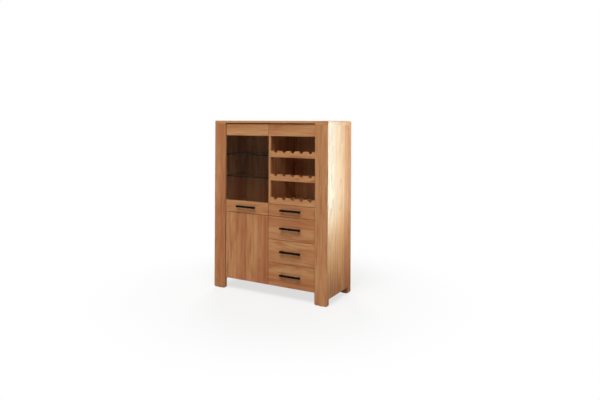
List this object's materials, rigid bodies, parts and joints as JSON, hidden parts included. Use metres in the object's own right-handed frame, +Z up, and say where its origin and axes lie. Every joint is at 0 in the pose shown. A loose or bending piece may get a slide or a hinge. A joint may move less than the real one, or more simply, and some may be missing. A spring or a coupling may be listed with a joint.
{
  "type": "wine cabinet",
  "caption": "Tall oiled-wood wine cabinet: glazed display door over a plain cupboard door, beside notched bottle racks over drawers with black bar handles.",
  "frame": {"origin": "centre of the whole part's footprint, on the floor under the glides", "axes": "+X to the viewer's right as the front is seen, +Y from the front into the cabinet, +Z up"},
  "size_m": [1.06, 0.456, 1.4],
  "materials": {
    "oiled_wood": "oiled satin",
    "drawer_wood": "clear matt lacquer",
    "tenon_wood": "raw",
    "clear_glass": "polished",
    "black_steel": "satin black powder coat",
    "zinc_steel": "bright zinc plate",
    "pale_nylon": "moulded",
    "brown_plastic": "moulded"
  },
  "bodies": {
    "carcass": {"bottom_board": "oiled_wood", "carcass_tenons": "tenon_wood", "centre_divider": "oiled_wood", "cupboard_shelf": "oiled_wood", "display_floor": "oiled_wood", "display_shelf_lower": "clear_glass", "display_shelf_upper": "clear_glass", "drawer_runners": "zinc_steel", "foot_glides": "pale_nylon", "left_back_panel": "oiled_wood", "left_front_post": "oiled_wood", "left_rear_post": "oiled_wood", "left_side_panel": "oiled_wood", "magnet_catch": "brown_plastic", "pivot_plates": "black_steel", "rack_fascia": "oiled_wood", "rack_floor": "oiled_wood", "rack_front_rail_lower": "oiled_wood", "rack_front_rail_middle": "oiled_wood", "rack_front_rail_upper": "oiled_wood", "rack_rear_rails": "oiled_wood", "rack_stile": "oiled_wood", "right_back_panel": "oiled_wood", "right_front_post": "oiled_wood", "right_inner_wall": "oiled_wood", "right_rear_post": "oiled_wood", "right_side_panel": "oiled_wood", "shelf_supports": "zinc_steel", "top_board": "oiled_wood", "touch_latch_housing": "brown_plastic"},
    "glass_door": {"glass_door_bottom_rail": "oiled_wood", "glass_door_bushes": "pale_nylon", "glass_door_handle": "black_steel", "glass_door_pane": "clear_glass", "glass_door_strike": "zinc_steel", "glass_door_top_rail": "oiled_wood"},
    "cupboard_door": {"cupboard_door_bushes": "pale_nylon", "cupboard_door_panel": "oiled_wood", "cupboard_door_strike": "zinc_steel"},
    "drawer_1": {"drawer_1_bottom": "drawer_wood", "drawer_1_box": "drawer_wood", "drawer_1_front": "oiled_wood", "drawer_1_handle": "black_steel", "drawer_1_slides": "zinc_steel"},
    "drawer_2": {"drawer_2_bottom": "drawer_wood", "drawer_2_box": "drawer_wood", "drawer_2_front": "oiled_wood", "drawer_2_handle": "black_steel", "drawer_2_slides": "zinc_steel"},
    "drawer_3": {"drawer_3_bottom": "drawer_wood", "drawer_3_box": "drawer_wood", "drawer_3_front": "oiled_wood", "drawer_3_handle": "black_steel", "drawer_3_slides": "zinc_steel"},
    "drawer_4": {"drawer_4_bottom": "drawer_wood", "drawer_4_box": "drawer_wood", "drawer_4_front": "oiled_wood", "drawer_4_handle": "black_steel", "drawer_4_slides": "zinc_steel"},
    "touch_latch": {"touch_latch_plunger": "brown_plastic"}
  },
  "joints": [
    {"name": "glass_door_hinge", "type": "hinge", "parent": "carcass", "child": "glass_door", "pos_m": [-0.4085, -0.195, 1.009], "axis": [0, 0, -1], "range_deg": [0, 95]},
    {"name": "cupboard_door_hinge", "type": "hinge", "parent": "carcass", "child": "cupboard_door", "pos_m": [-0.4085, -0.195, 0.368], "axis": [0, 0, -1], "range_deg": [0, 95]},
    {"name": "drawer_1_slide", "type": "slide", "parent": "carcass", "child": "drawer_1", "axis": [0, -1, 0], "range_m": [0, 0.3]},
    {"name": "drawer_2_slide", "type": "slide", "parent": "carcass", "child": "drawer_2", "axis": [0, -1, 0], "range_m": [0, 0.3]},
    {"name": "drawer_3_slide", "type": "slide", "parent": "carcass", "child": "drawer_3", "axis": [0, -1, 0], "range_m": [0, 0.3]},
    {"name": "drawer_4_slide", "type": "slide", "parent": "carcass", "child": "drawer_4", "axis": [0, -1, 0], "range_m": [0, 0.3]},
    {"name": "touch_latch_push", "type": "slide", "parent": "carcass", "child": "touch_latch", "axis": [0, 1, 0], "range_m": [0, 0.003], "stiffness_N_per_m": 600}
  ]
}
